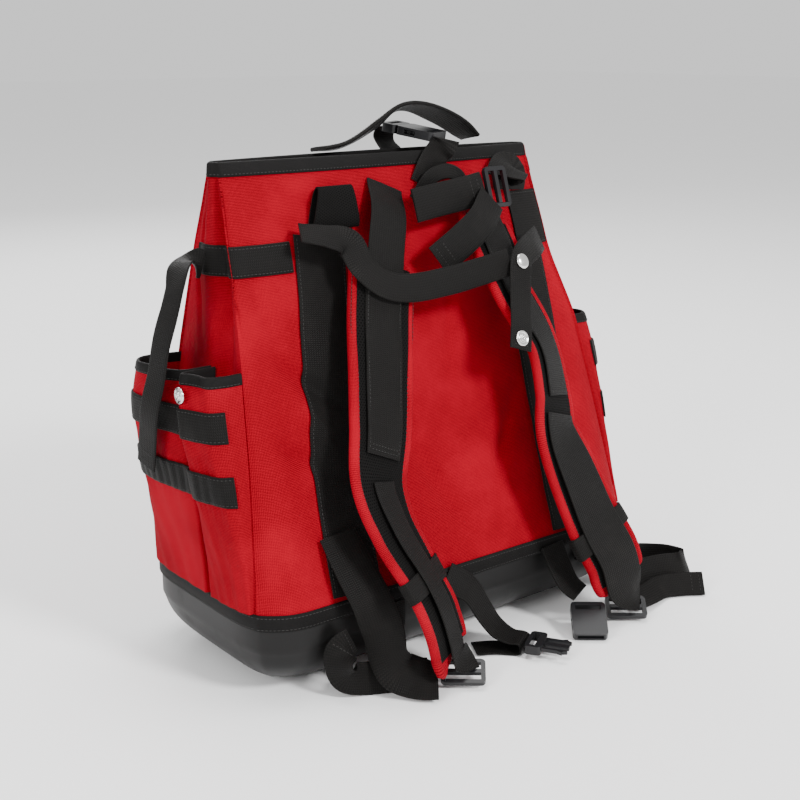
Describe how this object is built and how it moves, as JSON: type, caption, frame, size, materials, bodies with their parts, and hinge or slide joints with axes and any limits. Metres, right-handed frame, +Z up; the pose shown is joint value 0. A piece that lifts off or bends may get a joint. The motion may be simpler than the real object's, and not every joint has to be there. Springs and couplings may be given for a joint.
{
  "type": "tool backpack",
  "caption": "Open-mouthed cloth tool backpack on a moulded base tray, with side pockets, padded shoulder straps, chest strap, waist straps and a top carry handle.",
  "frame": {"origin": "middle of the flat underside of the moulded base tray, where the bag stands on the floor", "axes": "+Z up; +X to the right when the harness side is faced; +Y from the harness side to the front, so the shoulder straps hang on the -Y side"},
  "size_m": [0.5132, 0.2907, 0.4757],
  "materials": {
    "red_cloth": "coarse matt woven polyester",
    "black_webbing": "ribbed polypropylene webbing and binding tape",
    "black_tray": "satin moulded rubbery plastic",
    "black_plastic": "smooth moulded buckle plastic",
    "snap_metal": "plain nickel-plated domes"
  },
  "bodies": {
    "root": {"back_panel": "red_cloth", "front_panel": "red_cloth", "left_side_panel": "red_cloth", "right_side_panel": "red_cloth", "left_rear_pocket": "red_cloth", "left_front_pocket": "red_cloth", "right_rear_pocket": "red_cloth", "right_front_pocket": "red_cloth", "left_shoulder_pad": "red_cloth", "right_shoulder_pad": "red_cloth", "base_tray": "black_tray", "closure_buckle_socket": "black_plastic", "closure_buckle_plug": "black_plastic", "waist_buckle_plug": "black_plastic", "waist_buckle_socket": "black_plastic", "left_pad_ladder_lock": "black_plastic", "right_pad_ladder_lock": "black_plastic", "harness_ladder_lock": "black_plastic", "sternum_snap_cap": "snap_metal", "sternum_snap_stud": "snap_metal", "left_pocket_snap": "snap_metal", "base_binding": "black_webbing", "rim_binding": "black_webbing", "left_rear_pocket_binding": "black_webbing", "left_front_pocket_binding": "black_webbing", "right_rear_pocket_binding": "black_webbing", "right_front_pocket_binding": "black_webbing", "left_upper_pocket_band": "black_webbing", "left_lower_pocket_band": "black_webbing", "right_upper_pocket_band": "black_webbing", "right_lower_pocket_band": "black_webbing", "left_side_band": "black_webbing", "right_side_band": "black_webbing", "left_back_webbing": "black_webbing", "right_back_webbing": "black_webbing", "left_pad_webbing": "black_webbing", "left_pad_lower_webbing": "black_webbing", "right_pad_webbing": "black_webbing", "right_pad_lower_webbing": "black_webbing", "left_pad_keeper": "black_webbing", "right_pad_keeper": "black_webbing", "yoke_sleeve": "black_webbing", "yoke_webbing": "black_webbing", "harness_tail": "black_webbing", "harness_anchor": "black_webbing", "sternum_strap": "black_webbing", "sternum_tab": "black_webbing", "closure_strap": "black_webbing", "closure_anchor": "black_webbing", "closure_front_strap": "black_webbing", "carry_handle": "black_webbing", "left_adjust_strap": "black_webbing", "left_adjust_tail": "black_webbing", "right_adjust_strap": "black_webbing", "right_adjust_tail": "black_webbing", "left_waist_strap": "black_webbing", "right_waist_strap": "black_webbing", "left_hanging_strap": "black_webbing", "right_side_tab": "black_webbing", "base_tab": "black_webbing"}
  },
  "joints": []
}
